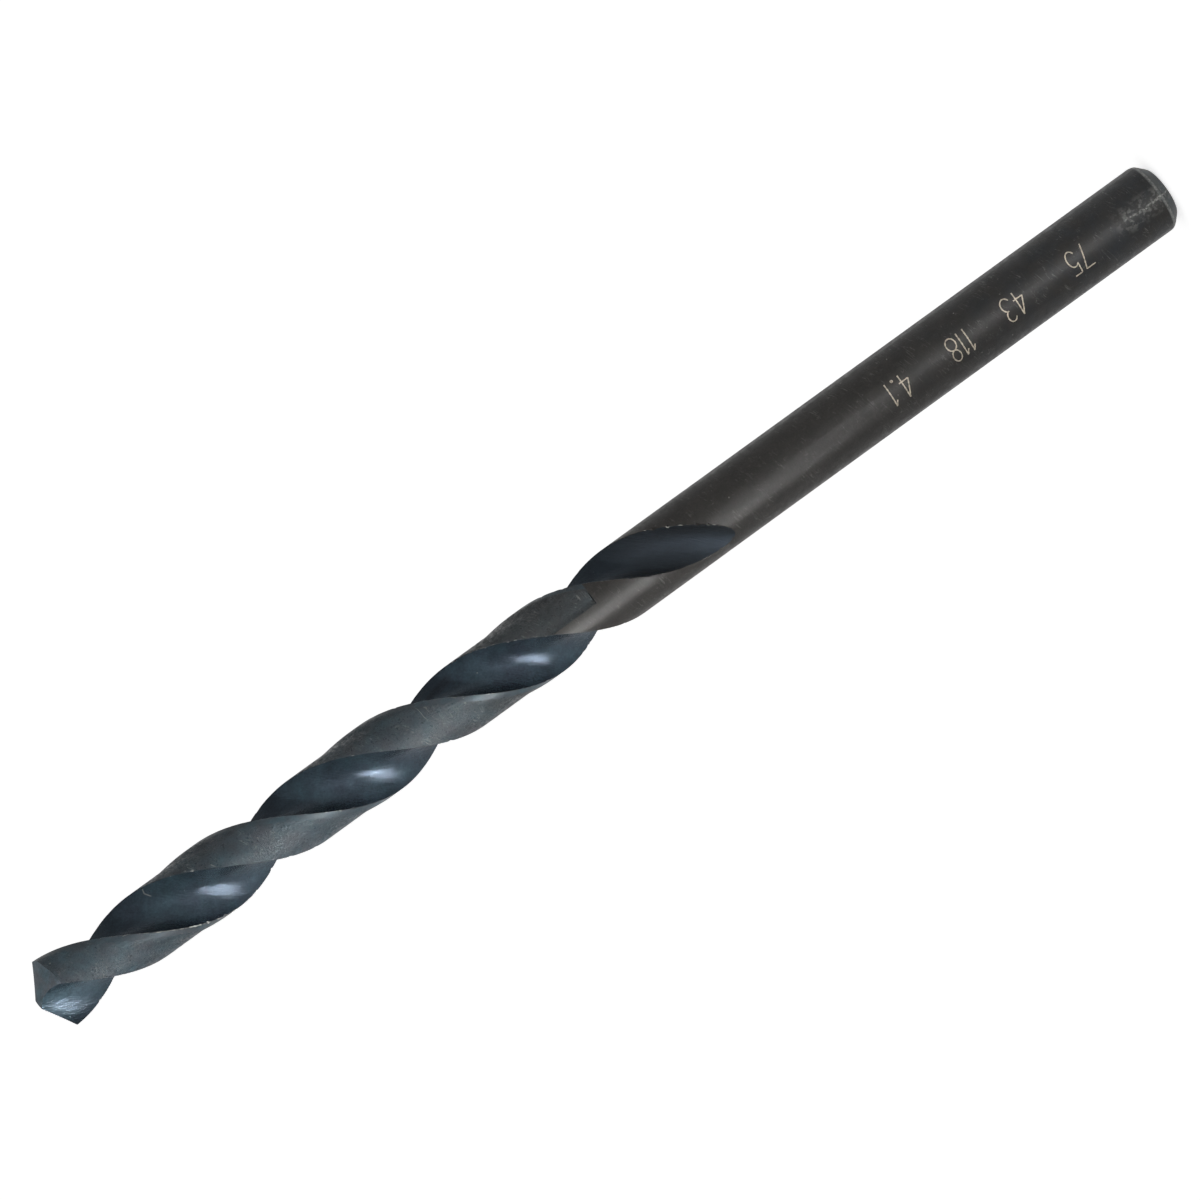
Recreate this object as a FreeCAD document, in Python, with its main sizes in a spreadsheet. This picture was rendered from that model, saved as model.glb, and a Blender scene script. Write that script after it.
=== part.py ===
import FreeCAD, Part
import math
import os
import Sketcher
from FreeCAD import Placement, Rotation, Vector

# Frame: the axis is Z, the flat shank end lies on Z = 0 and the point looks up.
# Angles of the fluted section are counted from its leading corner, towards the
# open side of the flute.  Millimetres and degrees.
NODE = "drill_bit"

# Where the revolved faces close, kept off the lips
RING_SEAM = -25
ROD_SEAM = 90

SIZES = [
    ("drill_diameter", "4.1", "across the margins at the point"),
    ("shank_diameter", "4.08", "plain shank, to which the margins and lands taper back"),
    ("overall_length", "75", "shank end to chisel edge"),
    ("helix_lead", "21.25", "one turn of a flute"),
    ("web_at_point", "0.76", "core thickness at the point"),
    ("web_rise", "0.0115", "cutter lift for each millimetre from the point"),
    ("web_rise_heading", "50", "direction of that lift in the section"),
    ("flute_bottom_heading", "56.5", "deepest line of the flute"),
    ("flute_bottom_radius", "0.62", "round bottom towards the heel"),
    ("flute_opening", "108.75", "leading corner to heel at the point"),
    ("flute_even_length", "38.9", "point to the start of the run-out"),
    ("runout_radius", "10.9", "path of the cutter as it leaves the steel"),
    ("runout_heading", "104.5", "direction in which it leaves"),
    ("runout_length", "6.6", "axial length of that path"),
    ("margin_width", "0.37", "full-diameter strip behind the leading edge"),
    ("margin_lead", "21.52", "one turn of the margin"),
    ("land_diameter", "3.814", "lands behind the margins, at the point"),
    ("land_length", "36.4", "point to the step where the lands end"),
    ("point_angle", "118", "angle between the two lips"),
    ("lip_clearance", "10.2", "fall of the flank behind the lip"),
    ("flank_cone_angle", "30", "half angle of the cone each flank lies on"),
    ("flank_cone_reach", "6", "apex of that cone to the middle of the lip"),
    ("flank_sweep", "200", "turn of the flank's cut about its cone"),
    ("shank_chamfer", "0.65", "chamfer at the shank end"),
    ("heel_guard", "35", "where the land's cut begins, ahead of the heel"),
    ("spare", "0.5", "overcut outside the steel"),
]

DERIVED = [
    ("outer_r", "=drill_diameter / 2"),
    ("spare_r", "=outer_r + spare"),
    ("web_r", "=web_at_point / 2"),
    ("face_num", "=outer_r ^ 2 - web_at_point * outer_r * cos(flute_bottom_heading * 1deg) + web_r ^ 2"),
    ("face_den", "=2 * outer_r * cos(flute_bottom_heading * 1deg) - web_at_point"),
    ("face_r", "=face_num / face_den"),
    ("face_c", "=web_r + face_r"),
    ("face_cos", "=(spare_r ^ 2 + face_c ^ 2 - face_r ^ 2) / (2 * spare_r * face_c)"),
    ("start_angle", "=flute_bottom_heading * 1deg - acos(face_cos)"),
    ("start_x", "=spare_r * cos(start_angle)"),
    ("start_y", "=spare_r * sin(start_angle)"),
    ("deep_x", "=web_r * cos(flute_bottom_heading * 1deg)"),
    ("deep_y", "=web_r * sin(flute_bottom_heading * 1deg)"),
    ("round_x", "=(web_r + flute_bottom_radius) * cos(flute_bottom_heading * 1deg)"),
    ("round_y", "=(web_r + flute_bottom_radius) * sin(flute_bottom_heading * 1deg)"),
    ("heel_x", "=outer_r * cos(flute_opening * 1deg)"),
    ("heel_y", "=outer_r * sin(flute_opening * 1deg)"),
    ("away_x", "=heel_x - round_x"),
    ("away_y", "=heel_y - round_y"),
    ("away", "=sqrt(away_x ^ 2 + away_y ^ 2)"),
    ("away_angle", "=atan2(away_y; away_x)"),
    ("touch_angle", "=away_angle + acos(flute_bottom_radius / away)"),
    ("touch_x", "=round_x + flute_bottom_radius * cos(touch_angle)"),
    ("touch_y", "=round_y + flute_bottom_radius * sin(touch_angle)"),
    ("wall", "=sqrt((heel_x - touch_x) ^ 2 + (heel_y - touch_y) ^ 2)"),
    ("wall_x", "=(heel_x - touch_x) / wall"),
    ("wall_y", "=(heel_y - touch_y) / wall"),
    ("wall_dot", "=heel_x * wall_x + heel_y * wall_y"),
    ("wall_more", "=sqrt(wall_dot ^ 2 + spare_r ^ 2 - outer_r ^ 2) - wall_dot"),
    ("finish_x", "=heel_x + wall_more * wall_x"),
    ("finish_y", "=heel_y + wall_more * wall_y"),
    ("corner_phase", "=asin(web_r / outer_r) / 1deg"),
    ("point_slope", "=90 - point_angle / 2"),
    ("point_depth", "=outer_r * tan(point_slope * 1deg)"),
    ("flank_bend", "=2 * flank_cone_reach * tan(flank_cone_angle * 1deg)"),
    ("lip_drop", "=web_r * tan(lip_clearance * 1deg) + web_r ^ 2 / flank_bend"),
    ("lip_height", "=overall_length + lip_drop / cos(point_slope * 1deg)"),
    ("corner_height", "=overall_length - point_depth"),
    ("top_height", "=overall_length + spare"),
    ("runout_height", "=overall_length - flute_even_length"),
    ("land_height", "=overall_length - land_length"),
    ("shank_r", "=shank_diameter / 2"),
    ("body_height", "=runout_height - runout_length"),
    ("back_taper", "=(outer_r - shank_r) / (corner_height - body_height)"),
    ("body_top_r", "=outer_r + back_taper * (top_height - corner_height)"),
    ("land_r", "=land_diameter / 2"),
    ("land_foot_r", "=land_r - back_taper * (corner_height - land_height)"),
    ("land_top_r", "=land_r + back_taper * (ring_height - corner_height)"),
    ("flank_side", "=outer_r + 2 * spare"),
    ("margin_angle", "=180 - margin_width / outer_r * 180 / pi"),
    ("open_angle", "=180 + flute_opening - heel_guard"),
    ("end_r", "=shank_r - shank_chamfer"),
    ("ring_r", "=spare_r + spare"),
    ("ring_height", "=top_height + spare"),
    ("bore_r", "=land_r - spare"),
]


def fill(sheet):
    rows = SIZES + [(name, formula, "worked out") for name, formula in DERIVED]
    for row, (name, content, note) in enumerate(rows, 1):
        sheet.set("A%d" % row, name)
        sheet.set("B%d" % row, content)
        sheet.setAlias("B%d" % row, name)
        sheet.set("C%d" % row, note)


def number(value):
    return float(getattr(value, "Value", value))


class Maker:
    def __init__(self):
        self.doc = FreeCAD.newDocument(NODE)
        self.sheet = self.doc.addObject("Spreadsheet::Sheet", "Sizes")
        fill(self.sheet)
        self.doc.recompute()

    def start(self, name):
        """Begin a body and note its own planes and axis."""
        self.body = self.doc.addObject("PartDesign::Body", name)
        planes = {p.Role: p for p in self.body.Origin.OriginFeatures}
        self.flat = planes["XY_Plane"]
        self.upright = planes["XZ_Plane"]
        self.axis = planes["Z_Axis"]

    def val(self, name):
        return number(self.sheet.get(name))

    def sketch(self, name, plane):
        made = self.body.newObject("Sketcher::SketchObject", name)
        made.AttachmentSupport = [(plane, "")]
        made.MapMode = "FlatFace"
        return made

    def bind(self, sketch, kind, args, alias):
        """Add one dimension and tie it to the sheet."""
        index = sketch.addConstraint(Sketcher.Constraint(kind, *args, self.val(alias)))
        sketch.setExpression("Constraints[%d]" % index, "Sizes.%s" % alias)

    def at(self, sketch, geo, end, x_alias, y_alias):
        self.bind(sketch, "DistanceX", (-1, 1, geo, end), x_alias)
        self.bind(sketch, "DistanceY", (-1, 1, geo, end), y_alias)


def arc_between(centre, radius, first, last):
    """The shorter arc from first to last about centre, always counter-clockwise in the sketch."""
    one = math.atan2(first.y - centre.y, first.x - centre.x)
    two = math.atan2(last.y - centre.y, last.x - centre.x)
    turn = (two - one) % (2 * math.pi)
    circle = Part.Circle(centre, Vector(0, 0, 1), radius)
    if turn <= math.pi:
        return Part.ArcOfCircle(circle, one, one + turn), False
    return Part.ArcOfCircle(circle, two, two + 2 * math.pi - turn), True


def flute_section(maker, name, height):
    """Cross-section of the flute cutter: face arc, bottom round, heel wall, outer arc."""
    v = maker.val
    sk = maker.sketch(name, maker.flat)
    start = Vector(v("start_x"), v("start_y"), 0)
    deep = Vector(v("deep_x"), v("deep_y"), 0)
    touch = Vector(v("touch_x"), v("touch_y"), 0)
    finish = Vector(v("finish_x"), v("finish_y"), 0)
    face, face_back = arc_between(deep * (v("face_c") / v("web_r")), v("face_r"), start, deep)
    middle = Vector(v("round_x"), v("round_y"), 0)
    low, low_back = arc_between(middle, v("flute_bottom_radius"), deep, touch)
    rim, rim_back = arc_between(Vector(0, 0, 0), v("spare_r"), start, finish)
    g_face = sk.addGeometry(face)
    g_low = sk.addGeometry(low)
    g_wall = sk.addGeometry(Part.LineSegment(touch, finish))
    g_rim = sk.addGeometry(rim)

    def ends(back):
        return (2, 1) if back else (1, 2)

    f1, f2 = ends(face_back)
    l1, l2 = ends(low_back)
    r1, r2 = ends(rim_back)
    for args in ((g_face, f2, g_low, l1), (g_low, l2, g_wall, 1),
                 (g_wall, 2, g_rim, r2), (g_rim, r1, g_face, f1)):
        sk.addConstraint(Sketcher.Constraint("Coincident", *args))
    maker.at(sk, g_face, f1, "start_x", "start_y")
    maker.at(sk, g_face, f2, "deep_x", "deep_y")
    maker.at(sk, g_low, l2, "touch_x", "touch_y")
    maker.at(sk, g_wall, 2, "finish_x", "finish_y")
    maker.bind(sk, "Radius", (g_face,), "face_r")
    maker.bind(sk, "Radius", (g_low,), "flute_bottom_radius")
    maker.bind(sk, "Radius", (g_rim,), "spare_r")
    depth = "(Sizes.overall_length - (%s))" % height
    rise = "Sizes.web_rise * %s" % depth
    past = "max(0; %s - Sizes.flute_even_length)" % depth
    leave = "(%s) ^ 2 / (2 * Sizes.runout_radius)" % past
    twist = "(Sizes.corner_phase + ((%s) - Sizes.corner_height) / Sizes.helix_lead * 360)" % height
    east = "(%s * cos((Sizes.web_rise_heading + %s) * 1deg) + %s * cos((Sizes.runout_heading + %s) * 1deg))"
    north = east.replace("cos", "sin")
    fill_in = (rise, twist, leave, twist)
    sk.setExpression(".AttachmentOffset.Base.x", (east % fill_in) + " * 1mm")
    sk.setExpression(".AttachmentOffset.Base.y", (north % fill_in) + " * 1mm")
    sk.setExpression(".AttachmentOffset.Base.z", "(%s) * 1mm" % height)
    sk.setExpression(".AttachmentOffset.Rotation.Angle", "%s * 1deg" % twist)
    return sk


def margin_section(maker, name, height):
    """Ring piece that keeps a margin: from its back edge forward over the flute."""
    v = maker.val
    sk = maker.sketch(name, maker.flat)
    low = math.radians(v("margin_angle"))
    high = math.radians(v("open_angle"))
    inner = v("bore_r")
    outer = v("ring_r")
    zero = Vector(0, 0, 0)
    up = Vector(0, 0, 1)
    g_in = sk.addGeometry(Part.ArcOfCircle(Part.Circle(zero, up, inner), low, high))
    g_out = sk.addGeometry(Part.ArcOfCircle(Part.Circle(zero, up, outer), low, high))

    def ray(radius, angle):
        return Vector(radius * math.cos(angle), radius * math.sin(angle), 0)

    g_a = sk.addGeometry(Part.LineSegment(ray(inner, low), ray(outer, low)))
    g_b = sk.addGeometry(Part.LineSegment(ray(inner, high), ray(outer, high)))
    for args in ((g_in, 3, -1, 1), (g_out, 3, -1, 1), (g_in, 1, g_a, 1), (g_out, 1, g_a, 2),
                 (g_in, 2, g_b, 1), (g_out, 2, g_b, 2)):
        sk.addConstraint(Sketcher.Constraint("Coincident", *args))
    maker.bind(sk, "Radius", (g_in,), "bore_r")
    maker.bind(sk, "Radius", (g_out,), "ring_r")
    for line, alias in ((g_a, "margin_angle"), (g_b, "open_angle")):
        index = sk.addConstraint(Sketcher.Constraint("Angle", line, math.radians(v(alias))))
        sk.setExpression("Constraints[%d]" % index, "Sizes.%s * 1deg" % alias)
    twist = "(Sizes.corner_phase + ((%s) - Sizes.corner_height) / Sizes.margin_lead * 360)" % height
    sk.setExpression(".AttachmentOffset.Base.z", "(%s) * 1mm" % height)
    sk.setExpression(".AttachmentOffset.Rotation.Angle", "%s * 1deg" % twist)
    return sk


def guide(maker, name, low, high, lead):
    """Helix that turns a section about the axis."""
    helix = maker.doc.addObject("Part::Helix", name)
    helix.setExpression("Radius", "Sizes.ring_r * 1mm")
    helix.setExpression("Pitch", "Sizes.%s * 1mm" % lead)
    helix.setExpression("Height", "(%s - (%s)) * 1mm" % (high, low))
    helix.setExpression(".Placement.Base.z", "(%s) * 1mm" % low)
    return helix


def spine(maker, name, low, high):
    """Straight path on the axis between two heights."""
    sk = maker.sketch(name, maker.upright)
    bottom = number(maker.sheet.evalExpression(low))
    top = number(maker.sheet.evalExpression(high))
    sk.addGeometry(Part.LineSegment(Vector(0, bottom, 0), Vector(0, top, 0)))
    sk.addConstraint(Sketcher.Constraint("PointOnObject", 0, 1, -2))
    sk.addConstraint(Sketcher.Constraint("Vertical", 0))
    for end, amount, formula in ((1, bottom, low), (2, top, high)):
        index = sk.addConstraint(Sketcher.Constraint("DistanceY", -1, 1, 0, end, amount))
        sk.setExpression("Constraints[%d]" % index, formula)
    return sk


def sweep(maker, name, low, high, lead, section, count):
    """Cut with a section carried up the axis and turned by a helix."""
    rows = []
    for k in range(count):
        height = "(%s)" % low
        if k:
            height = "(%s + (%s - (%s)) * %d / %d)" % (low, high, low, k, count - 1)
        rows.append(section(maker, "%sSection%d" % (name, k + 1), height))
    path = spine(maker, name + "Path", low, high)
    helix = guide(maker, name + "Helix", low, high, lead)
    maker.doc.recompute()
    cut = maker.body.newObject("PartDesign::SubtractivePipe", name)
    cut.Profile = rows[0]
    cut.Spine = (path, ["Edge1"])
    cut.Mode = "Auxiliary"
    cut.AuxiliarySpine = (helix, ["Edge1"])
    cut.AuxiliaryCurvilinear = False
    if count > 1:
        cut.Transformation = "Multisection"
        cut.Sections = [(row, "") for row in rows[1:]]
    maker.doc.recompute()
    return cut


def grind(maker):
    """Flank of one lip: everything outside a cone that touches the lip line."""
    v = maker.val
    sk = maker.sketch("FlankProfile", maker.upright)
    reach = v("flank_cone_reach")
    half = math.radians(v("flank_cone_angle"))
    apex = Vector(-reach, 0, 0)
    wide = v("drill_diameter")
    side = v("flank_side")
    along = Vector(math.cos(half), -math.sin(half), 0)
    g_axis = sk.addGeometry(Part.LineSegment(apex, apex + along * wide))
    sk.setConstruction(g_axis, True)
    pts = [Vector(-side, 0, 0), Vector(wide, 0, 0), Vector(wide, wide, 0), Vector(-side, wide, 0)]
    box = [sk.addGeometry(Part.LineSegment(pts[k], pts[(k + 1) % 4])) for k in range(4)]
    for k in range(4):
        sk.addConstraint(Sketcher.Constraint("Coincident", box[k], 2, box[(k + 1) % 4], 1))
    for k in (0, 2):
        sk.addConstraint(Sketcher.Constraint("Horizontal", box[k]))
        sk.addConstraint(Sketcher.Constraint("Vertical", box[k + 1]))
    sk.addConstraint(Sketcher.Constraint("PointOnObject", box[0], 1, -1))
    sk.addConstraint(Sketcher.Constraint("PointOnObject", g_axis, 1, -1))
    maker.bind(sk, "DistanceX", (g_axis, 1, -1, 1), "flank_cone_reach")
    index = sk.addConstraint(Sketcher.Constraint("Angle", g_axis, -half))
    sk.setExpression("Constraints[%d]" % index, "-Sizes.flank_cone_angle * 1deg")
    maker.bind(sk, "Distance", (g_axis,), "drill_diameter")
    maker.bind(sk, "DistanceX", (-1, 1, box[0], 2), "drill_diameter")
    maker.bind(sk, "DistanceY", (-1, 1, box[1], 2), "drill_diameter")
    maker.bind(sk, "DistanceX", (box[0], 1, -1, 1), "flank_side")
    sk.setExpression(".AttachmentOffset.Base.y", "Sizes.lip_height * 1mm")
    sk.setExpression(".AttachmentOffset.Base.z", "-Sizes.web_r * 1mm")
    sk.setExpression("AttachmentOffset.Rotation",
                     "create(<<rotation>>; -Sizes.point_slope; 0; Sizes.lip_clearance)")
    maker.doc.recompute()
    cut = maker.body.newObject("PartDesign::Groove", "Flank")
    cut.Profile = sk
    cut.ReferenceAxis = (sk, ["Axis0"])
    cut.Midplane = True
    cut.setExpression("Angle", "Sizes.flank_sweep * 1deg")
    maker.doc.recompute()
    return cut


def turned(maker, name, corners, seam):
    """Turned shape: a closed outline given by pairs of sheet names, revolved about the axis."""
    v = maker.val
    sk = maker.sketch(name + "Profile", maker.upright)
    sk.AttachmentOffset = Placement(Vector(0, 0, 0), Rotation(Vector(0, 1, 0), seam))
    pts = [Vector(v(x) if x else 0, v(y) if y else 0, 0) for x, y in corners]
    total = len(pts)
    for k in range(total):
        sk.addGeometry(Part.LineSegment(pts[k], pts[(k + 1) % total]))
    for k in range(total):
        sk.addConstraint(Sketcher.Constraint("Coincident", k, 2, (k + 1) % total, 1))
    for k, (x, y) in enumerate(corners):
        if x:
            maker.bind(sk, "DistanceX", (-1, 1, k, 1), x)
        else:
            sk.addConstraint(Sketcher.Constraint("PointOnObject", k, 1, -2))
        if y:
            maker.bind(sk, "DistanceY", (-1, 1, k, 1), y)
        else:
            sk.addConstraint(Sketcher.Constraint("PointOnObject", k, 1, -1))
    made = maker.body.newObject("PartDesign::Revolution", name)
    made.Profile = sk
    made.ReferenceAxis = (sk, ["V_Axis"])
    made.Angle = 360
    maker.doc.recompute()
    return made


def twice(maker, name, cuts):
    """Repeat the cuts on the opposite side of the axis."""
    pair = maker.body.newObject("PartDesign::PolarPattern", name)
    pair.Originals = cuts
    pair.Axis = (maker.axis, [""])
    pair.Angle = 360
    pair.Occurrences = 2
    maker.body.Tip = pair
    maker.doc.recompute()
    return pair


def build():
    m = Maker()

    # What is ground off round the lands: a ring, less the space of the two margins
    m.start("LandCutter")
    cutter = m.body
    turned(m, "LandRing", [("land_foot_r", "land_height"), ("ring_r", "land_height"),
                           ("ring_r", "ring_height"), ("land_top_r", "ring_height")], RING_SEAM)
    space = sweep(m, "MarginSpace", "Sizes.land_height - Sizes.spare", "Sizes.top_height",
                  "margin_lead", margin_section, 1)
    twice(m, "MarginSpaces", [space])

    # Rod: chamfered shank, then a body that grows a little towards the point, less the lands
    m.start("DrillBit")
    turned(m, "Rod", [("", ""), ("end_r", ""), ("shank_r", "shank_chamfer"), ("shank_r", "body_height"),
                      ("body_top_r", "top_height"), ("", "top_height")], ROD_SEAM)
    lands = m.body.newObject("PartDesign::Boolean", "Lands")
    lands.setObjects([cutter])
    lands.Type = "Cut"
    m.doc.recompute()

    # Flute: the section turns with the helix while the core grows, then leaves along a curve
    low = "Sizes.runout_height"
    foot = "Sizes.body_height"
    flute = sweep(m, "Flute", low, "Sizes.top_height", "helix_lead", flute_section, 2)
    runout = sweep(m, "Runout", foot, low, "helix_lead", flute_section, 7)
    flank = grind(m)
    return m, twice(m, "BothSides", [flute, runout, flank])


def check(maker):
    for thing in maker.doc.Objects:
        if any(word in thing.State for word in ("Invalid", "Error")):
            raise RuntimeError("%s did not build" % thing.Name)
        shape = getattr(thing, "Shape", None)
        if shape is not None and thing.isDerivedFrom("PartDesign::Feature"):
            if shape.isNull() or not shape.isValid():
                raise RuntimeError("%s has no valid shape" % thing.Name)


maker, made = build()
check(maker)
os.makedirs("parts", exist_ok=True)
made.Shape.exportStep("parts/%s.step" % NODE)
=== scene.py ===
import math
from functools import cached_property, reduce

import bmesh
import bpy
import numpy as np
from bpy.props import FloatProperty, FloatVectorProperty, PointerProperty, StringProperty
from mathutils import Matrix, Vector
from mathutils.geometry import delaunay_2d_cdt


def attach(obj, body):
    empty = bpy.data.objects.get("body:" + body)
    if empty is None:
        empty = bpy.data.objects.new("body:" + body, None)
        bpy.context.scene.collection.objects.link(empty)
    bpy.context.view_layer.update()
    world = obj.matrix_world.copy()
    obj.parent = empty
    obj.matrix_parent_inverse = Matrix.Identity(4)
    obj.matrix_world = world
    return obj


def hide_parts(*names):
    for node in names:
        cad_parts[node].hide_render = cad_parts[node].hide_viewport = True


bl_info = {
    "name": "Jobber Drill Bit",
    "version": (1, 0, 0),
    "blender": (4, 5, 0),
    "location": "View3D > Sidebar > Drill Bit",
    "description": "Twist drill with steam-tempered steel, its size figures and a plain studio",
    "category": "Object",
}

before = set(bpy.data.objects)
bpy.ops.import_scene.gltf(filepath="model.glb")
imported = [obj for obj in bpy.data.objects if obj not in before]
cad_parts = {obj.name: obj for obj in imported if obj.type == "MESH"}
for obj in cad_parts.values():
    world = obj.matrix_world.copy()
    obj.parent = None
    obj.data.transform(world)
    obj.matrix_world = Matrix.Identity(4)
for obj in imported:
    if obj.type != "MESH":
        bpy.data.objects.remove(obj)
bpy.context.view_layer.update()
BODY = "root"
NODE = "drill_bit"

# Lengths below are in millimetres, angles in degrees, and depth is the distance from the point
METRES = 0.001
FULL_TURN = 2 * math.pi

# Section of the flute, counted from its leading corner
FLUTE_BOTTOM_HEADING = 56.5
FLUTE_BOTTOM_RADIUS = 0.62
FLUTE_OPENING = 108.75
WEB_RISE = 0.0115
WEB_RISE_HEADING = 50.0
OVERCUT = 0.55
BOTTOM_EASE = 0.95
BOTTOM_SINK = 0.09

# Distance from the axis at which lengths along a flute are counted
FLUTE_MIDDLE = 1.4

# Run-out of the flute, and the steps that end the lands
EVEN_DEPTH = 38.9
RUNOUT_RADIUS = 10.9
RUNOUT_HEADING = 104.5
LAND_DEPTH = 36.4
BODY_DEPTH = 45.5
MARGIN_LEAD = 21.52
WHEEL_STOP_AZIMUTH = 103.5
WHEEL_STOP_NEAR = 33.5
STEP_LEAN = 26.0
STEP_FOOT = 0.6

# Line where the wheel that relieved the land stopped: lengths over which it is led in before its start
# and led out after the land's end, and its largest share of the land's width
STOP_LEAD_IN = 2.0
STOP_LEAD_OUT = 3.0
STOP_LIMIT = 0.97

# Cones of the ground point
LIP_CLEARANCE = 10.2
FLANK_CONE_ANGLE = 30.0
FLANK_CONE_REACH = 6.0

# Search for the chisel edge between them, from the middle out: the swing is in radians, the reach in half webs
CHISEL_HEADING = 60.0
CHISEL_SWING = 1.2
CHISEL_START = 0.02
CHISEL_REACH = 1.6
CHISEL_STEPS = 24

# Fineness of the mesh
FLUTE_COLUMNS = 48
FLUTE_CROWDING = 0.12
LAND_COLUMNS = 26
LAND_COLUMN = 1 / (LAND_COLUMNS - 1)
STOP_COLUMN = 10
STOP_SHARE = STOP_COLUMN / (LAND_COLUMNS - 1)
STOP_WALL = 0.1
MARGIN_COLUMNS = 5
OUTLINE_SAMPLES = 241
TABLE_ROWS = 3000
TABLE_END_ROWS = 300
TABLE_END = 0.5
BODY_STEP = 0.1
BODY_END = 1.0
BODY_END_ROWS = 24
TIP_ROWS = 16
TIP_DEPTH = 2.15
FLANK_GRID = 0.06
FLANK_CLEAR = 0.6
CHISEL_CLEAR = 0.7
SHANK_ROWS = 40
CHAMFER_ROUND = 0.24
SHARP_ANGLE = 24.0
WELD = 0.0002
NEARLY = 0.001

# Wear on the edges: narrow strips along them, and nicks with their middles and spreads of depth
CHIPPED_DEPTH = 40.0
EDGE_WIDTH = 0.022
EDGE_WAVE = 0.01
NICK_SEED = 41
NICKS_PER_EDGE = 46
NICK_DEPTH = (0.03, 0.13)
NICK_LENGTH = (0.05, 0.16)
NICKS_PER_PATCH = 22
NICK_PATCHES = ((8.6, 1.6), (42.3, 1.3))

# Heights above the shank end between which a finish changes, from where it starts to where it is full
RUNOUT_FADE = (40.0, 35.0)
# Paler patch in the middle of the flutes near the tip: a painted highlight
TIP_GLINT = (70.0, 73.5)
PALE_LAND = (67.0, 72.5)
BROWN_LAND = (52.0, 43.0)
BLUE_SHANK = (17.0, 7.0)
WORN_HEEL = (35.0, 34.0)
LESS_WORN = (36.0, 33.0)
DARK_EDGE = (37.0, 34.0)
WORN_EDGE_HEIGHT = 66.5

# Wear on the shank's end: length round the shank to the rubbed line, where that and the blotches end,
# and the height of the rubbed corner
RUB_LINE = 3.6
RUB_LINE_END = (3.6, 2.6)
BLOTCH_END = (3.9, 3.0)
RUB_CORNER = 0.66

# Angle in radians between the flute and the fine lines that the wheel left in it
GRINDING_SLANT = -0.65

# Dirt in the flutes: middle, way, half length and half width of a dark stain, and the two parts of a bent fibre
STAIN = ((-1.04, -0.48, 48.0), (-0.39, 0.36, -1.56), 0.85, 0.3)
FIBRE = (
    ((-1.68, -0.04, 67.02), (0.27, 0.02, 0.05), 0.14),
    ((-1.40, 0.03, 66.94), (0.29, 0.13, -0.21), 0.19),
)
FIBRE_WIDTH = 0.045

# Tints of the reflections
FLUTE_GLINT = (0.61, 0.78, 1.0)
LAND_GLINT = (0.84, 0.94, 1.0)


def colour(red, green, blue):
    """Linear colour from the 0 to 255 values of a picture."""
    parts = [channel / 255 for channel in (red, green, blue)]
    return tuple(part / 12.92 if part <= 0.04045 else ((part + 0.055) / 1.055) ** 2.4 for part in parts)


class DrillSizes(bpy.types.PropertyGroup):
    """The sizes that name a drill."""

    diameter: FloatProperty(
        name="Diameter", description="Across the margins at the point", default=0.0041, unit="LENGTH")
    shank_diameter: FloatProperty(
        name="Shank", description="Diameter of the plain shank", default=0.00408, unit="LENGTH")
    length: FloatProperty(
        name="Length", description="Shank end to chisel edge", default=0.075, unit="LENGTH")
    lead: FloatProperty(
        name="Helix Lead", description="Length of one turn of a flute", default=0.02125, unit="LENGTH")
    web: FloatProperty(
        name="Web", description="Thickness of the core at the point", default=0.00076, unit="LENGTH")
    land_diameter: FloatProperty(
        name="Lands", description="Across the relieved lands at the point", default=0.003814, unit="LENGTH")
    margin: FloatProperty(
        name="Margin", description="Width of the full-diameter strip", default=0.00037, unit="LENGTH")
    point_angle: FloatProperty(
        name="Point Angle", description="Between the two lips", default=math.radians(118), subtype="ANGLE")
    chamfer: FloatProperty(
        name="Chamfer", description="At the shank end", default=0.00065, unit="LENGTH")


class DrillFinish(bpy.types.PropertyGroup):
    """The colours of the tempered steel."""

    flute_colour: FloatVectorProperty(
        name="Flutes", description="Temper blue of the flutes", subtype="COLOR", default=colour(28, 34, 40))
    temper_colour: FloatVectorProperty(
        name="Temper", description="Green-blue tint in patches", subtype="COLOR", default=colour(31, 42, 47))
    land_colour: FloatVectorProperty(
        name="Lands", description="Grey of the relieved lands", subtype="COLOR", default=colour(42, 45, 49))
    shank_colour: FloatVectorProperty(
        name="Shank", description="Brown-black of the shank", subtype="COLOR", default=colour(34, 32, 30))
    bare_colour: FloatVectorProperty(
        name="Bare Steel", description="Where an edge is rubbed or nicked", subtype="COLOR",
        default=colour(147, 147, 142))
    mark_colour: FloatVectorProperty(
        name="Figures", description="Etched size figures", subtype="COLOR", default=colour(182, 171, 152))
    figures: StringProperty(
        name="Figures", description="Plain sizes etched along the shank, in millimetres",
        default="75 43 118 4.1")


class StudioLook(bpy.types.PropertyGroup):
    """The studio round the drill."""

    floor_colour: FloatVectorProperty(
        name="Floor", description="Plain pale floor", subtype="COLOR", default=(0.9, 0.9, 0.9))
    lamp_power: FloatProperty(
        name="Lamp", description="Power that the lamps share", default=0.2, subtype="POWER", unit="POWER")
    sky_strength: FloatProperty(
        name="Room Light", description="Strength of the even light of the room", default=0.4)


def toward(angle):
    """Direction at an angle, seen along the axis."""
    return np.array([math.cos(angle), math.sin(angle)])


def halved(inside, near, far, times):
    """The two sides of the place between near and far where a test changes."""
    for _ in range(times):
        middle = (near + far) / 2
        within = inside(middle)
        near = np.where(within, middle, near)
        far = np.where(within, far, middle)
    return near, far


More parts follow.
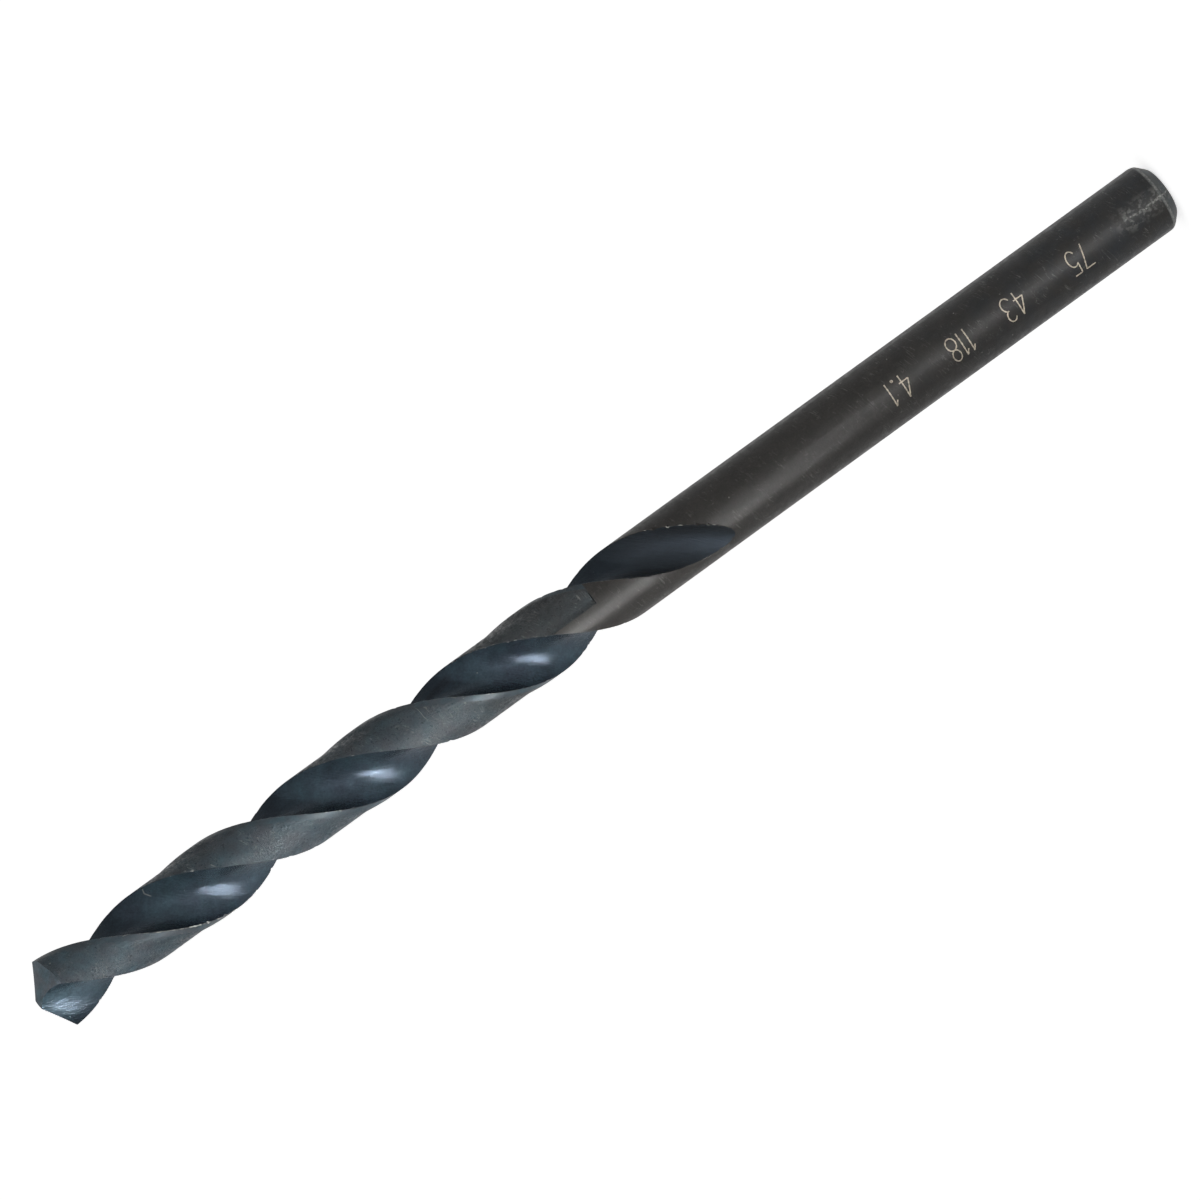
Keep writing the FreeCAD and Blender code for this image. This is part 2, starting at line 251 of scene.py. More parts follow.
class Grinding:
    """The drill's surfaces as formulas: cutter outline, helix, taper and flank cones."""

    def __init__(self, sizes):
        mm = 1 / METRES
        halves = (sizes.diameter, sizes.shank_diameter, sizes.web, sizes.land_diameter)
        self.outer_r, self.shank_r, self.web_r, self.land_r = (size * mm / 2 for size in halves)
        lengths = (sizes.length, sizes.lead, sizes.margin, sizes.chamfer)
        self.length, self.lead, self.margin, self.chamfer = (size * mm for size in lengths)
        self.slope = math.pi / 2 - sizes.point_angle / 2
        self.corner_phase = math.asin(self.web_r / self.outer_r)
        self.corner_depth = self.outer_r * math.tan(self.slope)
        self.taper = (self.outer_r - self.shank_r) / (BODY_DEPTH - self.corner_depth)
        self.set_outline()
        self.set_flank()
        self.end_depth = self.find_end()

    def set_outline(self):
        """Face arc, bottom round and heel wall of the cutter, by length along them."""
        inward = toward(math.radians(FLUTE_BOTTOM_HEADING))
        corner = np.array([self.outer_r, 0.0])
        deep_r = self.web_r - BOTTOM_SINK
        deep = deep_r * inward
        reach = corner - deep
        self.face_r = reach @ reach / (2 * (self.outer_r * inward[0] - deep_r))
        self.face_centre = (deep_r + self.face_r) * inward
        self.round_centre = (deep_r + FLUTE_BOTTOM_RADIUS) * inward
        heel = self.outer_r * toward(math.radians(FLUTE_OPENING))
        away = heel - self.round_centre
        touch_angle = math.atan2(away[1], away[0]) + math.acos(FLUTE_BOTTOM_RADIUS / np.linalg.norm(away))
        self.touch = self.round_centre + FLUTE_BOTTOM_RADIUS * toward(touch_angle)
        wall = heel - self.touch
        wall_length = np.linalg.norm(wall)
        self.wall_way = wall / wall_length

        def bearing(point, centre):
            return math.atan2(point[1] - centre[1], point[0] - centre[0])

        def wrapped(angle):
            return (angle + math.pi) % FULL_TURN - math.pi

        face_turn = wrapped(bearing(deep, self.face_centre) - bearing(corner, self.face_centre))
        self.face_sign = math.copysign(1, face_turn)
        self.face_start = bearing(corner, self.face_centre) - self.face_sign * OVERCUT / self.face_r
        self.face_length = abs(face_turn) * self.face_r + OVERCUT
        self.round_start = bearing(deep, self.round_centre)
        round_turn = wrapped(touch_angle - self.round_start)
        self.round_sign = math.copysign(1, round_turn)
        self.round_length = abs(round_turn) * FLUTE_BOTTOM_RADIUS
        self.run_length = self.face_length + self.round_length + wall_length + OVERCUT

    def outline(self, run):
        """Cutter outline at a length along it, its bottom eased into its walls."""
        steps = np.linspace(-1, 1, 9)[1:-1]
        weights = 1 + np.cos(math.pi * steps)
        weights = weights / weights.sum()
        return sum(weight * self.plain_outline(run + step * BOTTOM_EASE)
                   for step, weight in zip(steps, weights))

    def plain_outline(self, run):
        """Arc, round and straight wall of the cutter."""
        past_face = run - self.face_length
        past_round = past_face - self.round_length
        on_face = self.face_start + self.face_sign * run / self.face_r
        on_round = self.round_start + self.round_sign * past_face / FLUTE_BOTTOM_RADIUS
        place = []
        for side, circle in enumerate((np.cos, np.sin)):
            wall = self.touch[side] + past_round * self.wall_way[side]
            bottom = self.round_centre[side] + FLUTE_BOTTOM_RADIUS * circle(on_round)
            face = self.face_centre[side] + self.face_r * circle(on_face)
            place.append(np.where(past_face > 0, np.where(past_round > 0, wall, bottom), face))
        return np.array(place)

    def shift(self, depth):
        """How far the cutter has moved in the section: the web's rise, then the run-out."""
        rise = WEB_RISE * depth
        leave = np.maximum(depth - EVEN_DEPTH, 0) ** 2 / (2 * RUNOUT_RADIUS)
        ways = zip(toward(math.radians(WEB_RISE_HEADING)), toward(math.radians(RUNOUT_HEADING)))
        return [rise * rise_way + leave * leave_way for rise_way, leave_way in ways]

    def moved(self, run, depth):
        """Point of the outline, with the cutter where it is at a depth."""
        return [place + shift for place, shift in zip(self.outline(run), self.shift(depth))]

    def gap(self, run, depth):
        """Distance from the axis of a point of the moved outline."""
        return np.hypot(*self.moved(run, depth))

    def bearing(self, run, depth):
        """Direction from the axis of a point of the moved outline."""
        return np.arctan2(*reversed(self.moved(run, depth)))

    def turn(self, depth):
        """Direction of the leading corner at a depth."""
        return self.corner_phase + (self.corner_depth - depth) / self.lead * FULL_TURN

    def outer(self, depth):
        """Radius across the margins, which taper back to the shank."""
        return self.outer_r - self.taper * (np.clip(depth, 0, BODY_DEPTH) - self.corner_depth)

    def land(self, depth, kept_from):
        """Radius of the land: relieved down to a depth, full below it."""
        full = self.outer(depth)
        return np.where(depth >= kept_from, full, full - (self.outer_r - self.land_r))

    def crossing(self, depth, radius, first):
        """Length along the outline where it enters the steel, or leaves it."""
        runs = np.linspace(0, self.run_length, OUTLINE_SAMPLES)
        inside = self.gap(runs[None, :], depth[:, None]) < radius[:, None]
        if first:
            within = inside.argmax(1)
            beyond = within - 1
        else:
            within = OUTLINE_SAMPLES - 1 - inside[:, ::-1].argmax(1)
            beyond = np.minimum(within + 1, OUTLINE_SAMPLES - 1)
        near, far = halved(lambda run: self.gap(run, depth) < radius, runs[within], runs[beyond], 30)
        return (near + far) / 2

    def find_end(self):
        """Depth at which the flute has left the steel."""
        runs = np.linspace(0, self.run_length, OUTLINE_SAMPLES * 4)

        def cut(depth):
            return self.gap(runs, depth).min() < self.outer(depth)

        return float(halved(cut, EVEN_DEPTH, BODY_DEPTH + 2, 50)[0])

    def set_flank(self):
        """Apex and axis of the cone that one flank lies on."""
        cone = math.radians(FLANK_CONE_ANGLE)
        clearance = math.radians(LIP_CLEARANCE)
        bend = 2 * FLANK_CONE_REACH * math.tan(cone)
        fall = self.web_r * math.tan(clearance) + self.web_r ** 2 / bend
        lip = Vector((0, self.length + fall / math.cos(self.slope), -self.web_r))
        lean = Matrix.Rotation(-self.slope, 3, "Z") @ Matrix.Rotation(clearance, 3, "X")
        apex = lip + lean @ Vector((-FLANK_CONE_REACH, 0, 0))
        axis = lean @ Vector((math.cos(cone), -math.sin(cone), 0))
        self.apex = np.array([apex.x, -apex.z, apex.y])
        self.cone_way = np.array([axis.x, -axis.z, axis.y])
        self.cone_share = math.cos(cone) ** 2

    def cone_height(self, x, y):
        """Height of one flank cone above a point of the plan."""
        east = x - self.apex[0]
        north = y - self.apex[1]
        along = self.cone_way[0] * east + self.cone_way[1] * north
        square = self.cone_way[2] ** 2 - self.cone_share
        half = self.cone_way[2] * along
        rest = along ** 2 - self.cone_share * (east ** 2 + north ** 2)
        root = np.sqrt(np.maximum(half ** 2 - square * rest, 0))
        return self.apex[2] + rest / (-half + np.where(half < 0, root, -root))

    def point_height(self, x, y):
        """Height of the ground point above a point of the plan."""
        return np.minimum(self.cone_height(x, y), self.cone_height(-x, -y))


class EdgeWear:
    """Width of the worn strip along each edge: a fine wave and a scatter of nicks."""

    def __init__(self, reach):
        rng = np.random.default_rng(NICK_SEED)
        self.edges = []
        for edge in range(4):
            wave = (rng.uniform(2, 19, 6), rng.uniform(0, FULL_TURN, 6))
            middle, spread = NICK_PATCHES[edge % 2]
            places = [rng.uniform(0.5, reach, NICKS_PER_EDGE), rng.normal(middle, spread, NICKS_PER_PATCH)]
            places = np.concatenate(places)
            count = len(places)
            sizes = rng.uniform(*NICK_DEPTH, count) * rng.uniform(0, 1, count) ** 1.2
            self.edges.append((*wave, places, sizes, rng.uniform(*NICK_LENGTH, count)))

    def width(self, edge, depth):
        """Width of the strip on one of the four edges."""
        rates, starts, places, sizes, lengths = self.edges[edge]
        wave = sum(np.sin(depth * rate + start) for rate, start in zip(rates, starts)) / len(rates)
        bites = sizes * np.exp(-((depth[:, None] - places) / lengths) ** 2 * 4)
        return EDGE_WIDTH + EDGE_WAVE * np.maximum(wave, -0.5) + bites.sum(1)


# Zones of the surface, in the order of the drill's material slots
FLUTE, LAND, MARGIN, FLANK, SHANK, EDGE, END = range(7)


def column_plan():
    """Kind, share and zone of each column of half a section, from one leading edge to the next."""
    plan = [("lead", 0.0, EDGE)]
    for k in range(FLUTE_COLUMNS):
        share = k / (FLUTE_COLUMNS - 1)
        even = share - FLUTE_CROWDING * math.sin(FULL_TURN * share)
        plan.append(("flute", even, FLUTE if k < FLUTE_COLUMNS - 1 else EDGE))
    plan += [("land", k / (LAND_COLUMNS - 1), LAND) for k in range(LAND_COLUMNS)]
    plan += [("margin", k / MARGIN_COLUMNS, MARGIN) for k in range(MARGIN_COLUMNS)]
    return plan


class DrillSurface:
    """Points, faces and zones of the whole drill."""

    def __init__(self, grinding):
        self.shape = grinding
        self.wear = EdgeWear(grinding.end_depth)
        self.plan = column_plan()
        self.columns = 2 * len(self.plan)
        self.stop_depth = self.find_stop()
        self.tables = [self.table(half) for half in (0, 1)]
        self.points = []
        self.grain = []
        self.rub = []
        self.faces = []
        self.zones = []

    def table(self, half):
        """Where the outline crosses the surface, and how wide the edges are, by depth."""
        shape = self.shape
        end = shape.end_depth
        last = 1 - np.arange(1, TABLE_END_ROWS + 1) / TABLE_END_ROWS
        depth = np.concatenate([np.linspace(0, end - TABLE_END, TABLE_ROWS), end - TABLE_END * last ** 2])
        enter = shape.crossing(depth, shape.outer(depth), True)
        leave = shape.crossing(depth, shape.land(depth, self.stop_depth), False)
        room = np.maximum(leave - enter, 0) / 3
        beside = (2 * half, 2 * half + 1, 2 - 2 * half)
        edges = [np.minimum(self.wear.width(edge, depth), room) for edge in beside]
        return depth, (enter, leave, shape.bearing(enter, depth), shape.bearing(leave, depth), *edges)

    def find_stop(self):
        """Depth at which the line where the wheel stopped leaves the heel."""
        shape = self.shape
        near = WHEEL_STOP_NEAR
        for _ in range(20):
            depth = np.array([near])
            heel = shape.bearing(shape.crossing(depth, shape.outer(depth), False), depth) + shape.turn(depth)
            past = (heel[0] - math.radians(WHEEL_STOP_AZIMUTH) + math.pi / 2) % math.pi - math.pi / 2
            near += past * shape.lead / FULL_TURN
        return near

    def stop_share(self, depth, first, foot, turn):
        """Share of the land's width at which the wheel stopped, led in and out smoothly."""
        line = (math.radians(WHEEL_STOP_AZIMUTH) - turn - first) % math.pi
        line = np.where(line > math.pi * 0.9, 0, line) / (foot - first)
        before = STOP_SHARE * np.clip((self.stop_depth - depth) / STOP_LEAD_IN, 0, 1)
        after = np.clip((depth - LAND_DEPTH) / STOP_LEAD_OUT, 0, 1)
        share = np.where(depth < self.stop_depth, before, line + (STOP_SHARE - line) * after)
        return np.clip(share, 0, STOP_LIMIT)

    def column(self, kind, share, half, depth):
        """Points of one column, with the length across the surface that its grain follows."""
        shape = self.shape
        outer = radius = shape.outer(depth)
        turn = shape.turn(depth) + half * math.pi
        known, values = self.tables[half]
        enter, leave, lead_angle, heel_angle, lead, heel, after = (np.interp(depth, known, v) for v in values)
        drift = (1 / MARGIN_LEAD - 1 / shape.lead) * (shape.corner_depth - depth) * FULL_TURN
        back = math.pi - shape.margin / shape.outer_r + drift
        if kind == "flute":
            run = enter + lead + (leave - enter - lead - heel) * share
            x, y = shape.moved(run, depth)
            return x * np.cos(turn) - y * np.sin(turn), x * np.sin(turn) + y * np.cos(turn), run
        if kind == "lead":
            angle = turn + lead_angle - lead / outer
        elif kind == "margin":
            angle = turn + back + (lead_angle + math.pi - after / outer - back) * share
        else:
            first = heel_angle + heel / outer
            foot = back - math.radians(STEP_FOOT)
            stop = self.stop_share(depth, first, foot, turn)
            if share <= STOP_SHARE:
                moved = share / STOP_SHARE * stop
            else:
                past = (share - STOP_SHARE - LAND_COLUMN) / (1 - STOP_SHARE - LAND_COLUMN)
                moved = stop + STOP_WALL + past * (1 - stop - STOP_WALL)
            angle = turn + first + (foot - first) * moved
            radius = shape.land(depth, self.stop_depth if share <= STOP_SHARE else LAND_DEPTH)
            rise = np.clip(1 - (turn + back - angle) / math.radians(STEP_LEAN), 0, 1)
            radius = radius + (outer - radius) * rise ** 2 * (3 - 2 * rise)
        return radius * np.cos(angle), radius * np.sin(angle), angle * radius

    def top_depth(self, kind, share, half):
        """Depth at which a column meets the ground point."""
        depth = np.array([1.0])
        for _ in range(25):
            x, y, _ = self.column(kind, share, half, depth)
            depth = self.shape.length - self.shape.point_height(x, y)
        return float(depth[0])

    def body_depths(self):
        """Depths of the rows below the tip, closer at the land's end and at the flute's end."""
        end = self.shape.end_depth
        rows = list(np.arange(TIP_DEPTH, end - BODY_END, BODY_STEP))
        rows += [end - BODY_END * (1 - k / BODY_END_ROWS) ** 2 for k in range(BODY_END_ROWS)]
        for place in (LAND_DEPTH, self.stop_depth):
            rows = [row for row in rows if abs(row - place) > BODY_STEP / 3]
            rows += [place - 0.25, place]
        return np.array(sorted(rows))

    def add(self, points, grain, rub):
        """Append points and return the indices of them."""
        first = sum(len(block) for block in self.points)
        for kept, block in ((self.points, points), (self.grain, grain), (self.rub, rub)):
            kept.append(np.asarray(block, float))
        return list(range(first, first + len(points)))

    def join(self, above, below, zones):
        """Faces between two closed rows of points."""
        for k, zone in enumerate(zones):
            after = (k + 1) % len(above)
            self.faces.append((above[k], below[k], below[after], above[after]))
            self.zones.append(zone)

    def sides(self):
        """Flutes, lands and margins down to the end of the run-out."""
        body = self.body_depths()
        blend = np.linspace(0, 1, TIP_ROWS + 1)[:-1]
        flute_stretch = math.hypot(1, FULL_TURN * FLUTE_MIDDLE / self.shape.lead)
        grid = []
        for half in (0, 1):
            for kind, share, _ in self.plan:
                top = self.top_depth(kind, share, half)
                depth = np.concatenate([top + (TIP_DEPTH - top) * blend, body])
                x, y, across = self.column(kind, share, half, depth)
                along = depth * flute_stretch if kind == "flute" else depth
                upper = depth < CHIPPED_DEPTH
                rubbed = {("lead", 0.0): upper, ("flute", 0.0): upper, ("flute", 1.0): ~upper}
                grid.append(self.add(np.stack([x, y, self.shape.length - depth], 1),
                                     np.stack([across, along, np.full_like(depth, share)], 1),
                                     rubbed.get((kind, share), np.zeros(len(depth)))))
        limits = []
        for _, share, zone in self.plan * 2:
            relieved = self.stop_depth if zone == LAND and share < STOP_SHARE - NEARLY else LAND_DEPTH
            limits.append(relieved if zone in (LAND, MARGIN) else math.inf)
        rows = list(zip(*grid))
        for depth, above, below in zip([0.0] * TIP_ROWS + list(body), rows, rows[1:]):
            self.join(above, below, [SHANK if depth >= limit - NEARLY else zone
                                     for (_, _, zone), limit in zip(self.plan * 2, limits)])
        return rows[0], rows[-1]

    def chisel(self, loop):
        """Half of the edge between the two flanks, and the point of the loop that it reaches."""
        shape = self.shape

        def from_loop(place):
            return np.hypot(*(loop - place).T)

        kept = []
        heading = math.radians(CHISEL_HEADING)
        for radius in np.linspace(CHISEL_START, shape.web_r * CHISEL_REACH, CHISEL_STEPS):
            angles = heading + np.linspace(-CHISEL_SWING, CHISEL_SWING, 481)
            x, y = radius * np.cos(angles), radius * np.sin(angles)
            change = np.nonzero(np.diff(np.sign(shape.cone_height(x, y) - shape.cone_height(-x, -y))))[0]
            if not len(change):
                break
            best = change[np.argmin(np.abs(angles[change] - heading))]
            if from_loop((x[best], y[best])).min() < FLANK_GRID * CHISEL_CLEAR:
                break
            kept.append((x[best], y[best]))
            heading = angles[best]
        return kept, int(from_loop(kept[-1]).argmin())

    def point(self, rim):
        """The two ground flanks, as one fine net inside the loop of the sides' top row."""
        shape = self.shape
        loop = np.concatenate(self.points)[list(rim), :2]
        kept, stop = self.chisel(loop)
        line = [(-x, -y) for x, y in reversed(kept)] + [(0.0, 0.0)] + kept
        reach = np.abs(loop).max()
        steps = np.arange(-reach, reach, FLANK_GRID)
        fixed = np.concatenate([loop, line])
        inner = [(x, y) for row, y in enumerate(steps) for x in steps + (row % 2) * FLANK_GRID / 2
                 if np.hypot(*(fixed - (x, y)).T).min() > FLANK_GRID * FLANK_CLEAR]
        count = self.columns
        chain = [(stop + count // 2) % count] + [count + k for k in range(len(line))] + [stop]
        edges = [(k, (k + 1) % count) for k in range(count)] + list(zip(chain, chain[1:]))
        places = [Vector(place) for place in [*loop, *line, *inner]]
        made, _, faces, origins, _, _ = delaunay_2d_cdt(places, edges, [list(range(count))], 1, 1e-6)
        on_loop = [[at for at in origin if at < count] for origin in origins]
        x, y = np.array([place for place, known in zip(made, on_loop) if not known]).T
        grain = np.column_stack([np.hypot(x + FLANK_CONE_REACH, y), np.arctan2(y, x + FLANK_CONE_REACH), 0 * x])
        fresh = iter(self.add(np.column_stack([x, y, shape.point_height(x, y)]), grain, 0 * x))
        index = [rim[known[0]] if known else next(fresh) for known in on_loop]
        self.faces += [tuple(index[corner] for corner in face) for face in faces]
        self.zones += [FLANK] * len(faces)

    def end_profile(self):
        """Radius and height along the plain shank and its rounded chamfer."""
        shape = self.shape
        flat_r = shape.shank_r - shape.chamfer
        body_foot = shape.length - BODY_DEPTH
        corner = np.array([shape.shank_r, shape.chamfer])
        foot = np.array([flat_r, 0.0])
        down = np.array([-1.0, -1.0]) / math.sqrt(2)

        def rounded(at, before, after):
            for t in np.arange(1, 8) / 8:
                start = at + before * CHAMFER_ROUND
                stop = at + after * CHAMFER_ROUND
                yield (1 - t) ** 2 * start + 2 * t * (1 - t) * at + t ** 2 * stop

        tapered = np.linspace(shape.length - shape.end_depth, body_foot, 4)[1:]
        plain = np.linspace(body_foot, shape.chamfer + CHAMFER_ROUND, SHANK_ROWS)[1:]
        rows = [(shape.outer(shape.length - z), z) for z in tapered] + [(shape.shank_r, z) for z in plain]
        rows += rounded(corner, np.array([0.0, 1.0]), down)
        rows += [corner + down * CHAMFER_ROUND, (corner + foot) / 2, foot - down * CHAMFER_ROUND]
        rows += rounded(foot, -down, np.array([-1.0, 0.0]))
        return rows + [(flat_r - CHAMFER_ROUND, 0.0), (flat_r * 0.5, 0.0), (flat_r * 0.2, 0.0)]

    def shank(self, foot):
        """The plain shank, carried on from the last row of the sides."""
        shape = self.shape
        above = [at for at, (kind, _, _) in zip(foot, self.plan * 2) if kind in ("land", "margin")]
        angles = [math.atan2(y, x) for x, y, _ in np.concatenate(self.points)[above]]
        for radius, height in self.end_profile():
            grain = [(a * shape.shank_r, shape.length - height + (shape.shank_r - radius), 0.0) for a in angles]
            ring = [(*radius * toward(a), height) for a in angles]
            below = self.add(ring, grain, np.zeros(len(ring)))
            self.join(above, below, [END if height <= shape.chamfer + 0.1 else SHANK] * len(above))
            above = below
        middle, = self.add([(0.0, 0.0, 0.0)], [(0.0, shape.length, 0.0)], [0.0])
        self.faces += [(at, middle, after) for at, after in zip(above, above[1:] + above[:1])]
        self.zones += [END] * len(above)

    def mesh(self):
        """Blender mesh in metres, with the grain and the rubbed edges kept as attributes."""
        rim, foot = self.sides()
        self.point(rim)
        self.shank(foot)
        made = bpy.data.meshes.new("drill")
        made.from_pydata((np.concatenate(self.points) * METRES).tolist(), [], self.faces)
        layers = (("grain", "FLOAT_VECTOR", "vector", self.grain), ("rub", "FLOAT", "value", self.rub))
        for name, kind, part, blocks in layers:
            layer = made.attributes.new(name, kind, "POINT")
            layer.data.foreach_set(part, np.concatenate(blocks).astype(np.float32).ravel())
        made.polygons.foreach_set("material_index", np.array(self.zones, np.int32))
        work = bmesh.new()
        work.from_mesh(made)
        bmesh.ops.remove_doubles(work, verts=work.verts, dist=WELD * METRES)
        bmesh.ops.recalc_face_normals(work, faces=work.faces)
        work.to_mesh(made)
        work.free()
        made.polygons.foreach_set("use_smooth", np.ones(len(made.polygons), bool))
        made.set_sharp_from_angle(angle=math.radians(SHARP_ANGLE))
        return made


class Nodes:
    """Short calls for building one material's nodes."""

    def __init__(self, name):
        self.material = bpy.data.materials.new(name)
        self.material.use_nodes = True
        self.tree = self.material.node_tree
        self.tree.nodes.clear()
        self.output = self.tree.nodes.new("ShaderNodeOutputMaterial")
        self.shader = self.tree.nodes.new("ShaderNodeBsdfPrincipled")
        self.put(self.output.inputs["Surface"], self.shader.outputs[0])

    def put(self, socket, value):
        """Set a socket, or link it if the value is another socket."""
        if isinstance(value, bpy.types.NodeSocket):
            self.tree.links.new(value, socket)
        elif socket.type == "RGBA" and len(value) == 3:
            socket.default_value = (*value, 1.0)
        else:
            socket.default_value = value

    def add(self, kind, inputs, output=0, **settings):
        """Add a node, set or link its inputs, and give one of its outputs."""
        node = self.tree.nodes.new("ShaderNode" + kind)
        for name, setting in settings.items():
            setattr(node, name, setting)
        for key, value in inputs.items():
            self.put(node.inputs[key], value)
        return node.outputs[output]

    @cached_property
    def place(self):
        """Position in millimetres."""
        return self.scaled(self.add("TexCoord", {}, "Object"), (1 / METRES,) * 3)

    @cached_property
    def height(self):
        """Height above the shank end, in millimetres."""
        return self.axis(self.place, "Z")

    @cached_property
    def grain(self):
        """Lengths across and along the surface in millimetres, and the share of the way over it."""
        return self.add("Attribute", {}, "Vector", attribute_name="grain")

    def axis(self, vector, name):
        return self.add("SeparateXYZ", {0: vector}, name)

    def vector(self, operation, first, second, output=0):
        return self.add("VectorMath", {0: first, 1: second}, output, operation=operation)

    def scaled(self, vector, scale):
        return self.vector("MULTIPLY", vector, scale)

    def shaded(self, tone, gain):
        """Tone made darker or lighter by a value."""
        return self.scaled(tone, self.add("CombineXYZ", {0: gain, 1: gain, 2: gain}))

    def maths(self, operation, *values):
        """Join values by an operation, from the first on."""
        def join(*pair):
            return self.add("Math", dict(enumerate(pair)), operation=operation)

        return reduce(join, values) if len(values) > 1 else join(*values)

    def times(self, *values):
        return self.maths("MULTIPLY", *values)

    def apart(self, value, middle):
        """How far a value is from another."""
        return self.maths("ABSOLUTE", self.maths("SUBTRACT", value, middle))

    def noise(self, scale, detail=3.0, roughness=0.55, offset=0.0):
        """Noise at the position, offset so that layers differ."""
        place = self.vector("ADD", self.place, (offset,) * 3) if offset else self.place
        return self.add("TexNoise", {"Vector": place, "Scale": scale, "Detail": detail, "Roughness": roughness})

    def drawn(self, across, along, detail, roughness, slant=0.0):
        """Noise drawn out into lines, with its waves per millimetre across and along the surface."""
        way = self.grain
        if slant:
            way = self.add("VectorRotate", {"Vector": way, "Angle": slant}, rotation_type="Z_AXIS")
        way = self.scaled(way, (across, along, 0.0))
        return self.add("TexNoise", {"Vector": way, "Scale": 1.0, "Detail": detail, "Roughness": roughness})

    def specks(self, scale, rim, core):
        """Round specks, from their rim to their core."""
        return self.span(self.add("TexVoronoi", {"Vector": self.place, "Scale": scale}, "Distance"), rim, core)

    def span(self, value, low, high, to_low=0.0, to_high=1.0):
        """Map a value from one range to another, held at the ends."""
        return self.add("MapRange", {"Value": value, "From Min": low, "From Max": high,
                                     "To Min": to_low, "To Max": to_high})

    def blend(self, share, first, second):
        return self.add("Mix", {0: share, 6: first, 7: second}, 2, data_type="RGBA")

    def relief(self, *layers):
        """Normal from layers of relief, each with its depth in millimetres."""
        under = {}
        for height, depth in layers:
            under = {"Normal": self.add("Bump", {"Height": height, "Distance": depth * METRES, **under})}
        return under["Normal"]

    def finish(self, tone, roughness, normal, gloss=0.5, tint=(1.0, 1.0, 1.0)):
        """Link the finish to the shader, and set how strong and of what colour its reflections are."""
        for name, value in (("Base Color", tone), ("Roughness", roughness), ("Normal", normal),
                            ("Specular IOR Level", gloss), ("Specular Tint", tint)):
            self.put(self.shader.inputs[name], value)
        return self.material


def shade(base, gain):
    """A colour made darker or lighter."""
    return tuple(channel * gain for channel in base)


def oxide(nodes, base, other, scale, low, high):
    """Uneven oxide: two tints in clouds, with darker and lighter patches and a fine grain."""
    tint = nodes.blend(nodes.span(nodes.noise(scale * 0.55, 4.0, 0.6), 0.36, 0.64), base, other)
    cloud = nodes.span(nodes.noise(scale, 5.0, 0.66, 31.0), 0.3, 0.7, low, high)
    fine = nodes.span(nodes.noise(scale * 8, 3.0, 0.6), 0.3, 0.7, 0.78, 1.22)
    return nodes.shaded(nodes.shaded(tint, cloud), fine)


def dust(nodes, tone, amount, pale):
    """Fine pale dust in drifts, and a few larger specks."""
    drift = nodes.span(nodes.noise(0.9, 4.0, 0.62, 7.0), 0.5, 0.7)
    grains = nodes.span(nodes.noise(9.0, 3.0, 0.7, 3.0), 0.52, 0.7)
    picked = nodes.span(nodes.noise(1.1, 2.0, offset=12.0), 0.56, 0.62)
    dots = nodes.times(nodes.specks(1.9, 0.10, 0.05), picked, 0.7)
    return nodes.blend(nodes.maths("MAXIMUM", nodes.times(drift, grains, amount), dots), tone, pale)


def scratches(nodes, across, along, slant, strength):
    """Share of sparse thin scratches."""
    thin = nodes.apart(nodes.drawn(across, along, 2.0, 0.5, slant), 0.5)
    picked = nodes.span(nodes.noise(1.4, 2.0), 0.5, 0.62)
    return nodes.times(nodes.span(thin, 0.012, 0.004), picked, strength)


def streak(nodes, middle, way, half, width):
    """Share of a short straight streak about a point, soft at its ends and sides."""
    offset = nodes.vector("SUBTRACT", nodes.place, middle)
    along = nodes.vector("DOT_PRODUCT", offset, Vector(way).normalized(), "Value")
    reach = nodes.vector("DOT_PRODUCT", offset, offset, "Value")
    square = nodes.maths("SUBTRACT", reach, nodes.times(along, along))
    aside = nodes.maths("SQRT", nodes.maths("MAXIMUM", square, 0.0))
    ends = nodes.span(nodes.maths("ABSOLUTE", along), half * 1.25, half * 0.75)
    return nodes.times(ends, nodes.span(aside, width, width * 0.4))


def end_rub(nodes):
    """Where the shank's end is rubbed: a broken line along it, blotches, and the corner of the chamfer."""
    wander = nodes.span(nodes.noise(1.5, 2.0), 0.3, 0.7, -0.08, 0.08)
    aside = nodes.apart(nodes.maths("ADD", nodes.axis(nodes.grain, "X"), wander), RUB_LINE)
    broken = nodes.span(nodes.noise(5.0, 3.0, 0.7), 0.42, 0.6)
    line = nodes.times(nodes.span(aside, 0.08, 0.02), nodes.span(nodes.height, *RUB_LINE_END), broken)
    blotch = nodes.times(nodes.span(aside, 0.9, 0.3), nodes.span(nodes.height, *BLOTCH_END, 0.0, 0.3),
                         nodes.span(nodes.noise(3.2, 3.0, 0.6, 4.0), 0.5, 0.62))
    corner = nodes.times(nodes.span(nodes.apart(nodes.height, RUB_CORNER), 0.12, 0.03, 0.0, 0.7),
                         nodes.span(broken, 0.0, 1.0, 0.3, 1.0))
    return nodes.maths("MAXIMUM", line, blotch, corner)


